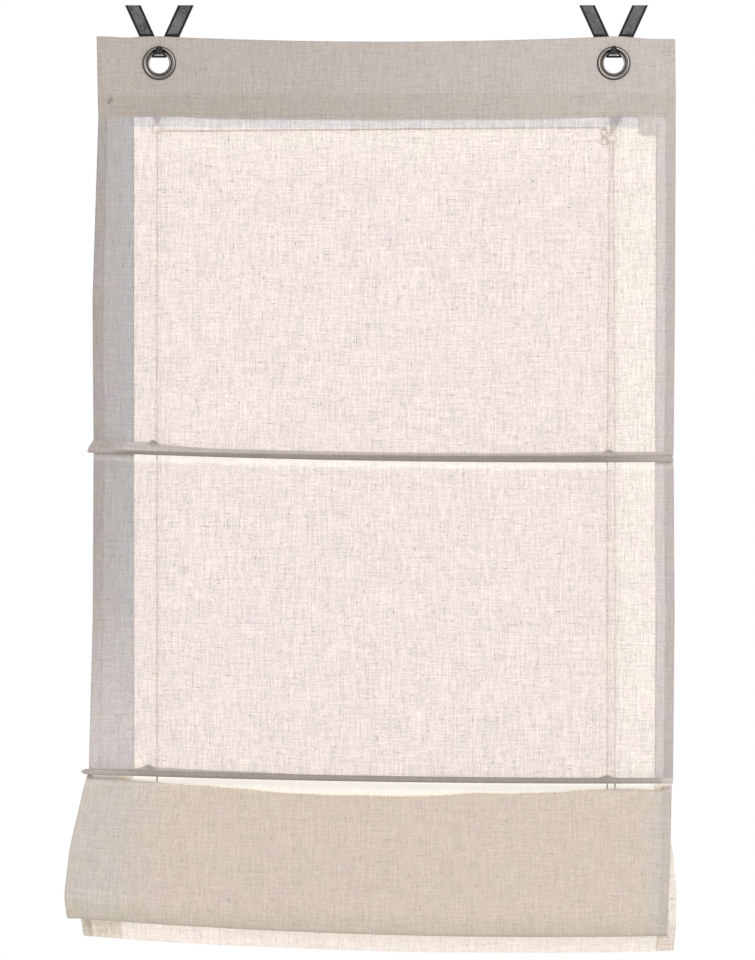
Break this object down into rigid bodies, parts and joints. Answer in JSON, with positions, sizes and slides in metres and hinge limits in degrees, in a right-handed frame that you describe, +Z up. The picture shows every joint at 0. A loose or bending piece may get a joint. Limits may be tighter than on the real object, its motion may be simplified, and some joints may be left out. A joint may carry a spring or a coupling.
{
  "type": "roman blind",
  "caption": "Linen roman blind hung by eyelets on V-shaped steel hooks, part drawn up, with rod tucks, a slack loop of cloth, and rings, lift cords and a pull cord behind.",
  "frame": {"origin": "midway between the centres of the two eyelets, in the plane of the front cloth", "axes": "+X to the right as seen from the room, +Y towards the window, +Z up"},
  "size_m": [0.634, 0.0413, 0.9905],
  "materials": {
    "linen": "plain weave",
    "tape": "woven tape",
    "ribbon": "woven ribbon",
    "cord": "braided",
    "nickel": "nickel plate",
    "hook_steel": "satin grey",
    "rod": "glass fibre",
    "ring": "moulded"
  },
  "bodies": {
    "root": {"blind_cloth": "linen", "header_tape": "tape", "tuck_rod_upper": "rod", "tuck_rod_middle": "rod", "tuck_rod_lower": "rod", "header_tab_left": "ribbon", "header_tab_right": "ribbon", "lift_cord_left": "cord", "lift_cord_right": "cord", "pull_cord": "cord", "cord_knot": "cord", "pull_cord_knot": "cord", "eyelet_left": "nickel", "eyelet_washer_left": "nickel", "hook_left": "hook_steel", "eyelet_right": "nickel", "eyelet_washer_right": "nickel", "hook_right": "hook_steel", "header_ring_left": "ring", "header_ring_right": "ring", "cord_ring_upper_left": "ring", "cord_ring_middle_left": "ring", "cord_ring_lower_left": "ring", "cord_ring_upper_right": "ring", "cord_ring_middle_right": "ring", "cord_ring_lower_right": "ring"}
  },
  "joints": []
}
